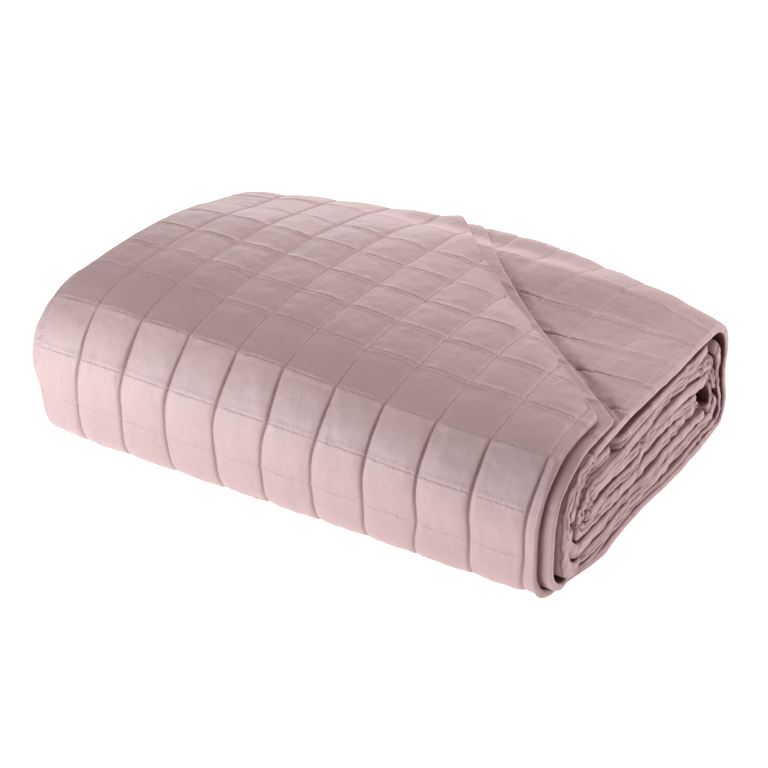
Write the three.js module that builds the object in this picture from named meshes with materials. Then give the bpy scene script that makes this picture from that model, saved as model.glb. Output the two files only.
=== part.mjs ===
// A quilted bed quilt, folded for the shelf. It was folded in two across its width, so the strip is
// two cloths thick with a fold at its left end and two hems at its right end. The strip is then
// wound flat, three times round, and its loose end lies on top with one corner turned under.
// Millimetres, +Z up. X runs along the windings, -Y is the rounded front, and the origin is in the
// middle of the footprint, on the surface that the quilt lies on.
import * as THREE from "three";

// Quilting: squares stitched over the whole quilt, and how far a square stands above its seams
const SQUARE = 70;
const CROWN = 4.5;
const CROWN_EDGE = 0.18;

// Section of the outermost winding, before the top is shaped
const HEIGHT = 195;
const FRONT = -302;
const BACK = 250;
const CORNERS = {
  backTop: { across: 42, up: 48 },
  frontTop: { across: 110, up: 95 },
  frontBottom: { across: 30, up: 45 },
  backBottom: { across: 40, up: 55 },
};
const SHARPEST_FOLD = 1.5;
const CORE = HEIGHT / 2 - 1;

// Strip thickness: the loose end is thinner, and thinner still where its hems lie, at the right,
// and along the back edge of the top, where it is drawn tight
const LOOSE_STRIP = { left: 28, right: 20, from: 120, to: 380 };
const DRAWN_TIGHT = { share: 0.5, from: 20, over: 170 };
const CLOTH_GAP = 2;
const FRONT_GAP = 8;

// Ends of the strip: the loose one high on the back, and the wound one near the back of the core
const LOOSE_SHARE = 0.18;
const WOUND_SHARE = 0.93;

// Seams: the cross seams nearest the hems, and the long seam along the front edge of the top
const LAST_SEAM = { loose: 350, under: 376 };
const UNDER_SKEW = 0.12;
const SQUARES_ACROSS = 10;
const FRONT_SEAM_PAST_TOP = 50;

// Height of the top surface at its seams, for four places along the quilt
const TOP_COLUMNS = { left: -283, middle: 0, hump: 150, right: 350 };
const TOP_HEIGHTS = [
  { y: -300, left: 190, middle: 183, hump: 179, right: 174 },
  { y: -240, left: 194, middle: 187, hump: 181, right: 177 },
  { y: -170, left: 201, middle: 194, hump: 188, right: 178 },
  { y: -100, left: 202, middle: 195, hump: 188, right: 178 },
  { y: -30, left: 197, middle: 191, hump: 184, right: 176 },
  { y: 40, left: 187, middle: 185, hump: 178, right: 172 },
  { y: 110, left: 170, middle: 177, hump: 171, right: 159 },
  { y: 180, left: 155, middle: 167, hump: 169, right: 149 },
  { y: 225, left: 142, middle: 152, hump: 157, right: 146 },
  { y: 270, left: 126, middle: 155, hump: 160, right: 132 },
];
const LEFT_SLOPE = { from: -250, to: -384, drop: 0.09, draw_in: 0.05 };

// The back bulges most a little right of the middle
const BACK_BULGE = { most: 292, at: 30, curve: 0.0007, from: 85, spread: 45, full: 40 };

// Right end: the layers lie in shallow waves
const END_WAVES = [
  { height: 2.6, length: 270, shift: 0.8 },
  { height: 0.7, length: 150, shift: 2.1 },
];
const END_WAVE_REACH = { from: 240, to: 385 };

// Corner turned under on the slant: where the fold of each cloth crosses two long lines
const SLANT = { x: 10, y: 193, run: 1.05, settle: 55 };
const SLANT_STEP = { upper: 0, lower: 26 };

// Places of the left fold and of the two hems, from the loose end on, counted in squares
const EDGES = [
  { at: 0, fold: -344, upper: 366, lower: 382 },
  { at: 2, fold: -366, upper: 366, lower: 382 },
  { at: 4, fold: -383, upper: 366, lower: 383 },
  { at: 6, fold: -378, upper: 368, lower: 383 },
  { at: 8, fold: -366, upper: 366, lower: 382 },
  { at: 9, fold: -354, upper: 367, lower: 383 },
  { at: 10, fold: -350, upper: 369, lower: 384 },
  { at: 11, fold: -350, upper: 378, lower: 387 },
  { at: 12, fold: -360, upper: 392, lower: 388 },
  { at: 15, fold: -372, upper: 398, lower: 391 },
  { at: 18, fold: -348, upper: 401, lower: 396 },
  { at: 20, fold: -336, upper: 393, lower: 398 },
  { at: 22, fold: -358, upper: 389, lower: 396 },
  { at: 24, fold: -374, upper: 386, lower: 391 },
  { at: 27, fold: -366, upper: 388, lower: 393 },
  { at: 30, fold: -344, upper: 391, lower: 387 },
  { at: 34, fold: -358, upper: 394, lower: 390 },
  { at: 38, fold: -340, upper: 391, lower: 394 },
  { at: 42, fold: -350, upper: 386, lower: 392 },
  { at: 46, fold: -338, upper: 392, lower: 386 },
  { at: 50, fold: -346, upper: 389, lower: 395 },
  { at: 56, fold: -346, upper: 392, lower: 388 },
];
const HEM_BULGE = 2.5;
const HEM_SHARES = { upper: 0.25, lower: 0.75 };

// Mesh rows and columns away from the raised squares
const PLAIN_COLUMNS = [-335, -290, -150, 10, 170, 290, 345];
const STATIONS = [-384, ...PLAIN_COLUMNS, 404];
const FOLD_STEPS = 6;
const COLUMN_CLEARANCE = 7;
const ROW_CLEARANCE = 3;
const HUMP_PAST_BACK = 58;
const ROW_STEPS = [
  { turn: 0, raised: true, backTop: 4, frontBottom: 4, backBottom: 4 },
  { turn: 0, raised: false, bottom: 7 },
  { turn: 1, raised: true, backTop: 4 },
  { turn: 1, raised: false, frontTop: 5, front: 2, frontBottom: 4, bottom: 7, backBottom: 4, back: 2 },
  { turn: 2, raised: false, backTop: 4, top: 6, frontTop: 4, front: 1, frontBottom: 3, bottom: 7 },
];

const quarterTurn = Math.PI / 2;
const clamp01 = (t) => Math.min(Math.max(t, 0), 1);
const smooth = (t) => clamp01(t) ** 2 * (3 - 2 * clamp01(t));
const mix = (a, b, t) => a + (b - a) * t;

// Smooth reading of a table between its rows
function readTable(rows, key, column, at) {
  const inside = clamp01((at - rows[0][key]) / (rows.at(-1)[key] - rows[0][key]));
  const place = mix(rows[0][key], rows.at(-1)[key], inside);
  const next = Math.max(rows.findIndex((row) => row[key] >= place), 1);
  const t = (place - rows[next - 1][key]) / (rows[next][key] - rows[next - 1][key]);
  const before = rows[Math.max(next - 2, 0)][column];
  const after = rows[Math.min(next + 1, rows.length - 1)][column];
  const start = rows[next - 1][column];
  const end = rows[next][column];
  const leave = (end - before) / 2;
  const arrive = (after - start) / 2;
  return start + t * (leave + t * (3 * (end - start) - 2 * leave - arrive
    + t * (2 * (start - end) + leave + arrive)));
}

// One turn of the winding: four rounded corners and four runs, from the loose end on
function cornerLength({ across, up }) {
  const h = ((across - up) / (across + up)) ** 2;
  return (Math.PI / 4) * (across + up) * (1 + (3 * h) / (10 + Math.sqrt(4 - 3 * h)));
}

const TURN = [
  { name: "backTop", length: cornerLength(CORNERS.backTop) },
  { name: "top", length: BACK - FRONT - CORNERS.backTop.across - CORNERS.frontTop.across },
  { name: "frontTop", length: cornerLength(CORNERS.frontTop) },
  { name: "front", length: HEIGHT - CORNERS.frontTop.up - CORNERS.frontBottom.up },
  { name: "frontBottom", length: cornerLength(CORNERS.frontBottom) },
  { name: "bottom", length: BACK - FRONT - CORNERS.frontBottom.across - CORNERS.backBottom.across },
  { name: "backBottom", length: cornerLength(CORNERS.backBottom) },
  { name: "back", length: HEIGHT - CORNERS.backBottom.up - CORNERS.backTop.up },
];
const TURN_LENGTH = TURN.reduce((sum, stretch) => sum + stretch.length, 0);
const SEAM_STEP = TURN_LENGTH / Math.round(TURN_LENGTH / SQUARE);

// Distance along the winding at which a stretch starts
function startOf(name, turn = 0) {
  const index = TURN.findIndex((stretch) => stretch.name === name);
  return turn * TURN_LENGTH + TURN.slice(0, index).reduce((sum, stretch) => sum + stretch.length, 0);
}

const FRONT_SEAM = startOf("frontTop") + FRONT_SEAM_PAST_TOP;
const LOOSE_END = startOf("top") * LOOSE_SHARE;
const WOUND_END = mix(startOf("bottom", 2), startOf("backBottom", 2), WOUND_SHARE);

// Section point at a distance along the winding and a depth below the outermost face
function sectionPoint(along, depth) {
  const shrink = Math.max(1 - depth / CORE, 0);
  const corner = (name) => ({
    across: CORNERS[name].across * shrink + SHARPEST_FOLD,
    up: CORNERS[name].up * shrink + SHARPEST_FOLD * (1 - shrink),
  });
  const front = FRONT + depth + (along > TURN_LENGTH ? FRONT_GAP : 0);
  const back = BACK - depth;
  const bottom = Math.min(depth, CORE);
  const top = HEIGHT - bottom;
  let rest = along % TURN_LENGTH;
  let index = 0;
  while (rest > TURN[index].length && index < TURN.length - 1) {
    rest -= TURN[index].length;
    index += 1;
  }
  const t = clamp01(rest / TURN[index].length);
  const [sin, cos] = [Math.sin(t * quarterTurn), Math.cos(t * quarterTurn)];
  const [bt, ft] = [corner("backTop"), corner("frontTop")];
  const [fb, bb] = [corner("frontBottom"), corner("backBottom")];
  const points = {
    backTop: () => [back - bt.across * (1 - cos), top - bt.up * (1 - sin)],
    top: () => [mix(back - bt.across, front + ft.across, t), top],
    frontTop: () => [front + ft.across * (1 - sin), top - ft.up * (1 - cos)],
    front: () => [front, mix(top - ft.up, bottom + fb.up, t)],
    frontBottom: () => [front + fb.across * (1 - cos), bottom + fb.up * (1 - sin)],
    bottom: () => [mix(front + fb.across, back - bb.across, t), bottom],
    backBottom: () => [back - bb.across * (1 - sin), bottom + bb.up * (1 - cos)],
    back: () => [back, mix(bottom + bb.up, top - bt.up, t)],
  };
  return points[TURN[index].name]();
}

// Height of the top at a place, on the one smooth curve through the columns of the table
function topHeight(x, y) {
  const places = Object.values(TOP_COLUMNS);
  const at = Math.min(Math.max(x, places[0]), places.at(-1));
  const height = Object.entries(TOP_COLUMNS).reduce((sum, [column, place]) => {
    const weight = places.reduce((part, other) =>
      (other === place ? part : (part * (at - other)) / (place - other)), 1);
    return sum + weight * readTable(TOP_HEIGHTS, "y", column, y);
  }, 0);
  return height * (1 - LEFT_SLOPE.drop * towardsLeft(x) ** 2);
}

const towardsLeft = (x) => clamp01((LEFT_SLOPE.from - x) / (LEFT_SLOPE.from - LEFT_SLOPE.to));

// Section at one place along X: Y and Z at a distance along the winding and a depth
function shapedSection(x, along, depth) {
  let [y, z] = sectionPoint(along, depth);
  const bulge = BACK_BULGE.most - BACK_BULGE.curve * (x - BACK_BULGE.at) ** 2 - BACK;
  const from = BACK_BULGE.from + BACK_BULGE.spread * Math.min(Math.max(bulge / BACK_BULGE.full, -1), 1);
  y += bulge * smooth((y - from) / (BACK - from));
  y *= 1 - LEFT_SLOPE.draw_in * towardsLeft(x) ** 2;
  const reach = smooth((x - END_WAVE_REACH.from) / (END_WAVE_REACH.to - END_WAVE_REACH.from));
  const wave = END_WAVES.reduce((sum, { height, length, shift }) =>
    sum + height * Math.sin((2 * Math.PI * y) / length + shift), 0);
  z += reach * wave * Math.sin((Math.PI * Math.min(z, HEIGHT)) / HEIGHT);
  return [y, (z * topHeight(x, y)) / HEIGHT];
}

// Point of the quilt. Between stations it lies on a straight line, so that faces with many columns
// and faces with few run side by side. The depth is a function of the station's place along X.
function place(x, along, depthAt) {
  const next = Math.min(Math.max(STATIONS.findIndex((station) => station >= x), 1), STATIONS.length - 1);
  const [from, to] = [STATIONS[next - 1], STATIONS[next]];
  const t = (x - from) / (to - from);
  const [start, end] = [from, to].map((station) => shapedSection(station, along, depthAt(station)));
  return [x, mix(start[0], end[0], t), mix(start[1], end[1], t)];
}

// Thickness of the loose end at a place along X and round the turn
function looseThickness(x, rest) {
  const { left, right, from, to } = LOOSE_STRIP;
  const full = mix(left, right, smooth((x - from) / (to - from)));
  const leaving = smooth((rest - startOf("top") - DRAWN_TIGHT.from) / DRAWN_TIGHT.over);
  const returning = smooth((rest - startOf("back")) / (TURN_LENGTH - startOf("back")));
  return full * mix(DRAWN_TIGHT.share, 1, leaving * (1 - returning));
}

// Depth of the strip's two faces. A turn moves one strip inward while it climbs the back.
function stripDepth(x, along, share) {
  const turn = Math.floor(along / TURN_LENGTH);
  const rest = along - turn * TURN_LENGTH;
  const loose = looseThickness(x, rest);
  const wound = (CORE - loose) / 2;
  const edges = [0, loose, loose + wound, CORE, CORE];
  const climb = smooth((rest - startOf("backBottom")) / (TURN_LENGTH - startOf("backBottom")));
  const here = mix(edges[turn], edges[turn + 1], share);
  const next = mix(edges[turn + 1], edges[turn + 2], share);
  return mix(here, next, climb);
}

// The four faces of the folded strip, as shares of its thickness and gaps in millimetres
const FACES = {
  upperOut: { share: 0, gap: 0 },
  upperIn: { share: 0.5, gap: -CLOTH_GAP / 2 },
  lowerIn: { share: 0.5, gap: CLOTH_GAP / 2 },
  lowerOut: { share: 1, gap: -CLOTH_GAP },
};

function facePoint(face, x, along, rise = 0) {
  const { share, gap } = FACES[face];
  return place(x, along, (station) => stripDepth(station, along, share) + gap - rise);
}

// Where a cloth ends on the right: at its hem, or at the slanted fold near the loose end
function slantEdge(along, cloth) {
  const unrolled = BACK - CORNERS.backTop.across - (along - startOf("top"));
  return SLANT.x + SLANT_STEP[cloth] + (SLANT.y - unrolled) * SLANT.run;
}

function rightEdge(along, cloth) {
  const hem = readTable(EDGES, "at", cloth, along / SEAM_STEP);
  return along < TURN_LENGTH / 2 ? Math.min(hem, slantEdge(along, cloth)) : hem;
}

const leftFold = (along) => readTable(EDGES, "at", "fold", along / SEAM_STEP);

// Whether the outside of the strip shows at a place, so that its squares can stand up
function showing(x, along) {
  if (along < startOf("frontBottom")) return clamp01((along - LOOSE_END) / (SQUARE * CROWN_EDGE));
  if (along < startOf("backBottom")) return 0;
  const unrolledTwice = along - TURN_LENGTH;
  if (along > TURN_LENGTH + startOf("frontTop")) return 0;
  const covered = unrolledTwice < 0 ? smooth((unrolledTwice + SQUARE) / SQUARE) : 1;
  const beyond = x - slantEdge(Math.max(unrolledTwice, 0), "lower") - COLUMN_CLEARANCE;
  return Math.max(1 - covered, smooth(beyond / SLANT.settle));
}

// How far a square has risen at a fraction of the way across it
const crownRise = (fraction) => clamp01(Math.min(fraction, 1 - fraction) / CROWN_EDGE);

function rowRise(along) {
  const squares = (along - FRONT_SEAM) / SEAM_STEP;
  return crownRise(squares - Math.floor(squares));
}

// Columns of the outside face: seams and the edges of the raised squares where it shows
function outsideColumns({ along, raised }) {
  const right = rightEdge(along, "upper") - COLUMN_CLEARANCE;
  const left = leftFold(along) + foldRadius(along) + COLUMN_CLEARANCE;
  const under = along > startOf("backBottom");
  const covered = under && along > TURN_LENGTH + LOOSE_END;
  const cover = covered ? slantEdge(along - TURN_LENGTH, "lower") - COLUMN_CLEARANCE : left;
  const columns = PLAIN_COLUMNS.filter((x) => !raised || x < cover).map((x) => ({ x, key: x, rise: 0 }));
  const skew = under ? UNDER_SKEW * skewReach(along) : 0;
  for (let square = 0; raised && square <= SQUARES_ACROSS; square += 1) {
    for (const part of [0, CROWN_EDGE, 1 - CROWN_EDGE]) {
      const key = (under ? LAST_SEAM.under : LAST_SEAM.loose) - (square + part - 1) * SQUARE;
      if (key + skew > cover) columns.push({ x: key + skew, key, rise: crownRise(part) });
    }
  }
  return columns.filter(({ x }) => x > left && x < right).sort((first, second) => first.x - second.x);
}

// Seams of the under layer lean to the right towards the back
function skewReach(along) {
  const fromFront = startOf("frontTop", 1) - along;
  const run = startOf("frontTop") - startOf("top");
  return Math.min(Math.max(fromFront - run / 2, 0), run / 2);
}

const foldRadius = (along) => {
  const x = leftFold(along);
  return (stripDepth(x, along, 1) - stripDepth(x, along, 0) - CLOTH_GAP) / 2;
};

// Closed outline of the folded strip at one row, as seven joined lines of vertex numbers
function ring(row, positions) {
  const { along } = row;
  const vertex = (point, key) => {
    positions.push(...point);
    return { index: positions.length / 3 - 1, key };
  };
  const radius = foldRadius(along);
  const bend = leftFold(along) + radius;
  const upper = rightEdge(along, "upper");
  const lower = rightEdge(along, "lower");
  const plain = (edge) =>
    PLAIN_COLUMNS.filter((x) => x > bend + COLUMN_CLEARANCE && x < edge - COLUMN_CLEARANCE);
  const line = (face, xs) => xs.map((x) => vertex(facePoint(face, x, along), x));

  const outside = [
    vertex(facePoint("upperOut", bend, along), bend),
    ...outsideColumns(row).map(({ x, key, rise }) => {
      const height = CROWN * rise * rowRise(along) * showing(x, along);
      return { ...vertex(facePoint("upperOut", x, along, height), key), high: height > 0 };
    }),
    vertex(facePoint("upperOut", upper, along), upper),
  ].reverse();
  const inside = line("upperIn", [bend, ...plain(upper), upper]);
  const innerFold = line("lowerIn", [bend]);
  const under = line("lowerIn", [...plain(lower), lower]);
  const bottom = line("lowerOut", [bend, ...plain(lower), lower]);

  const fold = [];
  for (let step = 1; step < FOLD_STEPS; step += 1) {
    const angle = (step / FOLD_STEPS) * Math.PI;
    const share = (1 - Math.cos(angle)) / 2;
    const x = bend - radius * Math.sin(angle);
    const depthAt = (station) =>
      mix(stripDepth(station, along, 0), stripDepth(station, along, 1) - CLOTH_GAP, share);
    fold.push(vertex(place(x, along, depthAt), step));
  }
  const hemMiddle = (edge, share, gap) =>
    vertex(place(edge + HEM_BULGE, along, (station) => stripDepth(station, along, share) + gap), 0);
  const upperHem = hemMiddle(upper, HEM_SHARES.upper, 0);
  const lowerHem = hemMiddle(lower, HEM_SHARES.lower, -CLOTH_GAP / 2);
  return [
    outside,
    [outside.at(-1), ...fold, bottom[0]],
    bottom,
    [bottom.at(-1), lowerHem, under.at(-1)],
    [innerFold[0], ...under].reverse(),
    [innerFold[0], inside[0]],
    inside,
    [inside.at(-1), upperHem, outside[0]],
  ];
}

// Triangles between two lines of vertices, stepping along whichever line lags behind. Where the two
// are level, the shared edge runs from the seams' crossing to the raised corner, and elsewhere the
// same way on every face, so that faces that lie close together stay apart.
function bridge(first, second, faces) {
  const rising = first[0].key <= first.at(-1).key ? 1 : -1;
  const keyOf = (line, i) => line[i].key * rising;
  const raised = (line, i) => line[i].high === true;
  let [i, j] = [0, 0];
  const add = (...corners) => {
    if (new Set(corners).size === 3) faces.push(corners);
  };
  const firstLags = () => {
    const [a, b] = [keyOf(first, i + 1), keyOf(second, j + 1)];
    if (a !== b) return a < b;
    if (raised(first, i + 1) || raised(second, j)) return true;
    if (raised(first, i) || raised(second, j + 1)) return false;
    return rising > 0;
  };
  while (i < first.length - 1 || j < second.length - 1) {
    if (j === second.length - 1 || (i < first.length - 1 && firstLags())) {
      add(first[i].index, first[i + 1].index, second[j].index);
      i += 1;
    } else {
      add(first[i].index, second[j + 1].index, second[j].index);
      j += 1;
    }
  }
}

// End of the strip, between the outside and the inside of its two cloths
function capEnd(lines, faces, flip) {
  const share = (list) => list.map((item, i) => ({ index: item.index, key: i / (list.length - 1) }));
  const [outside, fold, bottom, lowerHem, under, turn, inside, upperHem] = lines;
  const found = [];
  bridge(share(outside), share([...inside].reverse()), found);
  bridge(share(fold), share([inside[0], turn[0]]), found);
  bridge(share(bottom), share([...under].reverse()), found);
  for (const hem of [lowerHem, upperHem]) found.push([hem[0].index, hem[1].index, hem[2].index]);
  for (const corners of found) faces.push(flip ? [...corners].reverse() : corners);
}

// Rows along the winding: three to a square where the squares are raised, four where the square lies
// over the hump, and a few to each stretch
function windingRows() {
  const rows = [];
  const add = (along, raised) => rows.push({ along, raised });
  const squareRows = (from, to) => {
    const first = Math.floor((from - FRONT_SEAM) / SEAM_STEP);
    for (let square = first; FRONT_SEAM + square * SEAM_STEP < to; square += 1) {
      const middle = (FRONT_SEAM + (square + 0.5) * SEAM_STEP) % TURN_LENGTH;
      const overHump = Math.abs(middle - startOf("top") - HUMP_PAST_BACK) < SQUARE / 2;
      for (const part of [0, CROWN_EDGE, ...(overHump ? [0.5] : []), 1 - CROWN_EDGE]) {
        const along = FRONT_SEAM + (square + part) * SEAM_STEP;
        if (along > from && along < to) add(along, true);
      }
    }
  };
  add(LOOSE_END, true);
  squareRows(LOOSE_END, startOf("frontBottom"));
  squareRows(startOf("back"), startOf("frontTop", 1) - SQUARE / 2);
  add(startOf("frontTop", 1), false);
  for (const plan of ROW_STEPS) {
    for (const { name, length } of TURN.filter((stretch) => plan[stretch.name])) {
      for (let step = 1; step <= plan[name]; step += 1) {
        add(startOf(name, plan.turn) + (length * step) / plan[name], plan.raised);
      }
    }
  }
  add(WOUND_END, false);
  rows.sort((first, second) => first.along - second.along);
  return rows.filter(({ along }, i) => along >= LOOSE_END && along <= WOUND_END
    && (i === 0 || along - rows[i - 1].along > ROW_CLEARANCE));
}

function foldedQuilt() {
  const positions = [];
  const faces = [];
  const rings = windingRows().map((row) => ring(row, positions));
  for (let i = 1; i < rings.length; i += 1) {
    rings[i].forEach((line, part) => bridge(rings[i - 1][part], line, faces));
  }
  capEnd(rings[0], faces, true);
  capEnd(rings.at(-1), faces, false);
  const geometry = new THREE.BufferGeometry();
  geometry.setAttribute("position", new THREE.Float32BufferAttribute(positions, 3));
  geometry.setIndex(faces.flat());
  geometry.computeBoundingBox();
  const { min, max } = geometry.boundingBox;
  geometry.translate(-(min.x + max.x) / 2, -(min.y + max.y) / 2, -min.z);
  geometry.computeVertexNormals();
  return geometry;
}

const sateen = new THREE.MeshStandardMaterial({ color: 0xb89a9c, roughness: 0.62, metalness: 0 });
const quilt = new THREE.Mesh(foldedQuilt(), sateen);
quilt.name = "quilt";

const object = new THREE.Group();
object.add(quilt);

export default object;
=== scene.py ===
"""A sateen bed quilt with stitched squares, folded in two and wound flat into a soft bundle."""
import math

import bpy
import numpy as np
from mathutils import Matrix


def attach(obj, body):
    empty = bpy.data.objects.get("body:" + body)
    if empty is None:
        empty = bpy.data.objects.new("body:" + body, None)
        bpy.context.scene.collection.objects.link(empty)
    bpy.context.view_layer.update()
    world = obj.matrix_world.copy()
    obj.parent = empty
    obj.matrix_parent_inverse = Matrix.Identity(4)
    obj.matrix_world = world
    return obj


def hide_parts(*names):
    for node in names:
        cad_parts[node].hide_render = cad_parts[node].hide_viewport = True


bl_info = {
    "name": "Folded Quilt",
    "version": (1, 0, 0),
    "blender": (4, 5, 0),
    "location": "3D View > Sidebar > Folded Quilt",
    "description": "Builds a folded sateen quilt with puffed squares on its packed frame",
    "category": "Add Mesh",
}

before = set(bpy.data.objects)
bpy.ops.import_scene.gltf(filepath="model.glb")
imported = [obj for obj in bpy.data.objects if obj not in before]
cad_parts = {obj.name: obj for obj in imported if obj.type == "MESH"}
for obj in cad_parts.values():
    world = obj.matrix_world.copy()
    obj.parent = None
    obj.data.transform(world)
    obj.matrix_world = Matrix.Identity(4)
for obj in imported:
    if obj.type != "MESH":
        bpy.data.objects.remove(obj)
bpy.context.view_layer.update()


def rows_of(keys, rows):
    """Table whose columns have names."""
    return [dict(zip(keys.split(), row)) for row in rows]


# The cloth is worked out in millimetres, before the frame's origin is moved to mid-footprint
METRE = 0.001
ORIGIN = (10.087, -12.411, 0.0)
SQUARE = 70.0
HEIGHT = 195.0
FRONT = -302.0
BACK = 250.0
CORNERS = {
    "backTop": (42.0, 48.0),
    "frontTop": (110.0, 95.0),
    "frontBottom": (30.0, 45.0),
    "backBottom": (40.0, 55.0),
}
SHARPEST_FOLD = 1.5
CORE = HEIGHT / 2 - 1
LOOSE_STRIP = {"left": 28.0, "right": 20.0, "from": 120.0, "to": 380.0}
DRAWN_TIGHT = {"share": 0.34, "from": 20.0, "over": 170.0}
CLOTH_GAP = 2.0
FRONT_GAP = 8.0
LOOSE_SHARE = 0.18
WOUND_SHARE = 0.93
LAST_SEAM = {"loose": 350.0, "under": 376.0}
UNDER_SKEW = 0.12
FRONT_SEAM_PAST_TOP = 50.0

TOP_COLUMNS = {"left": -283.0, "middle": 0.0, "hump": 150.0, "right": 350.0}
TOP_HEIGHTS = rows_of("y left middle hump right", (
    (-300, 190, 184, 180, 174), (-240, 194, 187, 181, 177),
    (-170, 201, 194, 188, 178), (-100, 202, 195, 188, 178),
    (-30, 197, 191, 184, 176), (40, 187, 185, 178, 172),
    (110, 170, 177, 171, 161), (180, 155, 168, 167, 153),
    (225, 142, 155, 154, 150), (270, 126, 158, 157, 137),
))

# The top dips a little beside the slanted edge, towards the back
BACK_DIP = {"x": -85.0, "wide": 70.0, "from": 130.0, "over": 110.0, "deep": 6.5}
LEFT_SLOPE = {"from": -250.0, "to": -384.0, "drop": 0.09, "draw_in": 0.05}
BACK_BULGE = {"most": 292.0, "at": 30.0, "curve": 0.0007, "from": 85.0, "spread": 45.0, "full": 40.0}
END_WAVES = rows_of("height length shift", ((2.6, 270.0, 0.8), (0.7, 150.0, 2.1)))
END_WAVE_REACH = {"from": 240.0, "to": 385.0}
SLANT = {"x": 10.0, "y": 193.0, "run": 1.05}
SLANT_STEP = {"upper": -3.0, "lower": 29.0}

# Where the left fold and the two hems lie, by number of seam steps along the winding
EDGES = rows_of("at fold upper lower", (
    (0, -327, 366, 382), (2, -347, 366, 382), (4, -354, 366, 383), (6, -353, 368, 383),
    (8, -363, 366, 382), (9, -359, 367, 383), (10, -350, 369, 384), (11, -350, 380, 389),
    (12, -360, 395, 391), (13, -366, 393, 390), (15, -370, 401, 398), (17, -356, 403, 400),
    (18, -348, 402, 400), (20, -336, 395, 393), (22, -350, 391, 389), (24, -362, 389, 388),
    (27, -362, 388, 388), (30, -344, 390, 388), (34, -358, 396, 394), (38, -340, 396, 394),
    (40, -345, 393, 393), (42, -350, 389, 391), (46, -338, 390, 388), (50, -346, 388, 390),
    (56, -346, 390, 388),
))

# Hollows in the end, where a hem lies further in than its neighbours
PITS = rows_of("at cloth deep wide", (
    (11.0, "lower", 12, 10), (21.0, "lower", 14, 12), (25.9, "lower", 16, 8),
    (26.9, "lower", 4, 40), (29.2, "lower", 9, 12), (31.0, "upper", 9, 7),
    (37.3, "lower", 12, 7), (38.6, "upper", 14, 9), (39.6, "lower", 17, 11),
    (40.5, "lower", 13, 8), (44.6, "lower", 7, 5), (48.9, "lower", 15, 9),
    (49.7, "upper", 15, 9), (50.5, "lower", 14, 8),
))

# Single creases and dents of the outer face, in millimetres from the last cross seam and down
CREASES = rows_of("across down wide long deep lean", (
    (652, -104, 7, 46, 3.6, 0.0),
    (27, 84, 2.8, 9, 2.6, 0.0),
    (560, 44, 4, 26, 0.9, 0.05),
    (604, 60, 3.5, 34, 1.0, -0.06),
    (640, 30, 5, 40, 1.2, 0.12),
    (612, -160, 5, 40, 1.3, 0.15),
))

FLOOR_SIZE = 14.0
CAMERA = {"azimuth": 30.54, "elevation": 31.57, "distance": 2.7241, "lens": 96.43,
          "target": (-0.01749, 0.01241, 0.0249)}

WARM, COOL = (1.0, 0.96, 0.96), (0.87, 1.0, 1.0)

# Soft square lights: name, azimuth from the front towards the right, elevation, distance, size,
# watts and tint
LIGHTS = (
    ("back_light", 210, 12, 2.9, 1.6, 42, WARM),
    ("back_right_light", 158, 33, 2.9, 1.4, 52, WARM),
    ("right_light", 118, 26, 2.6, 1.0, 20, WARM),
    ("top_light", 20, 60, 2.9, 1.6, 19, WARM),
    ("front_light", -39, 9, 1.7, 1.2, 23.5, COOL),
    ("low_light", -22, 28, 2.4, 1.4, 23, COOL),
)

# Mesh spacing across one square, finer where it dips to the seams
FINE_COLUMNS = (0.9, 1.8, 2.7, 4.0, 5.8, 8.2, 11.4, 15.4, 20.2, 25.2, 30.0)
FINE_ROWS = (0.9, 2.0, 3.4, 5.2, 7.6, 10.6, 14.4, 19.0, 24.4, 30.0)
PLAIN_STEPS = (2.0, 6.0, 13.0, 23.0)
INNER_STEP = 4.5

HEM_BORDER = 16.0
HEM_THICKNESS = 9.0
UNDER_HEM_THICKNESS = 10.0
HEM_BULGE = 4.0
ROLL_BULGE = 7.0
SLANT_THICKNESS = 17.0
EDGE_DISTANCES = (13.5, 11.0, 8.5, 6.2, 4.2, 2.4, 0.9)
SLANT_MARGIN = 5.5
PAST_UPPER_EDGE = (-3.0, -0.5, 1.0, 2.6, 4.8, 8.0, 13.0, 20.0)
HEM_STEPS = 14
FOLD_STEPS = 14
END_ROUNDING = 5.0
OUTER_CRUMPLE, CRUMPLE_DEPTH = 0.35, 22.0

# Where one state of the cloth fades into the next, as a start and a distance
CRUMPLED = (318.0, 60.0)
NEAR_SLANT = (-85.0, 75.0)
THIN_HEM = (-80.0, 62.0)
CLOSE_HEM = (-60.0, 50.0)
HEM_CLOSER = -0.5
FRONT_FACE = {"starts": (-14.0, 50.0), "ends": (250.0, 60.0)}
RESTING_FACE = {"starts": (30.0, 50.0), "fade": 40.0}
BESIDE_SLANT = (60.0, 280.0)

# Forms of the outer face. A pair is for the top and the front, or a start and a distance
FRONT_EDGE = {"high": 5.0, "wide": 30.0, "power": 1.3, "foot": 0.42, "foot_wide": 75.0, "reach": 200.0,
              "fade": (590.0, 90.0)}
SEAM_KINK = (1.2, 4.2)
STITCHED_SLOT = {"deep": (0.5, 1.4), "sides": (0.6, 2.2)}
HEM_SIDE = -3.0
PULLED = {"deep": 5.0, "reach": 26.0, "seam": 11.0, "base": 0.75, "vary": 0.5}
HEM_GROOVE = {"deep": 5.5, "wide": 0.075, "off_middle": 0.13, "crinkle": 1.1, "base": 0.55, "vary": 1.2}
PUFF = {"vary": 0.16, "under_loss": 0.4, "resting": 2.0}
HEM_PUFF = {"share": 0.45, "radius": 8.0, "over": 3.0}
SEAM_DEPTHS = {"cross": (0.85, 1.0), "long": (0.27, 0.30)}
SUNK = {"deep": (0.2, 0.35), "full": (80.0, 90.0)}
PUCKER_REACH = {"row": 7.0, "cross": 6.0}
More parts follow.
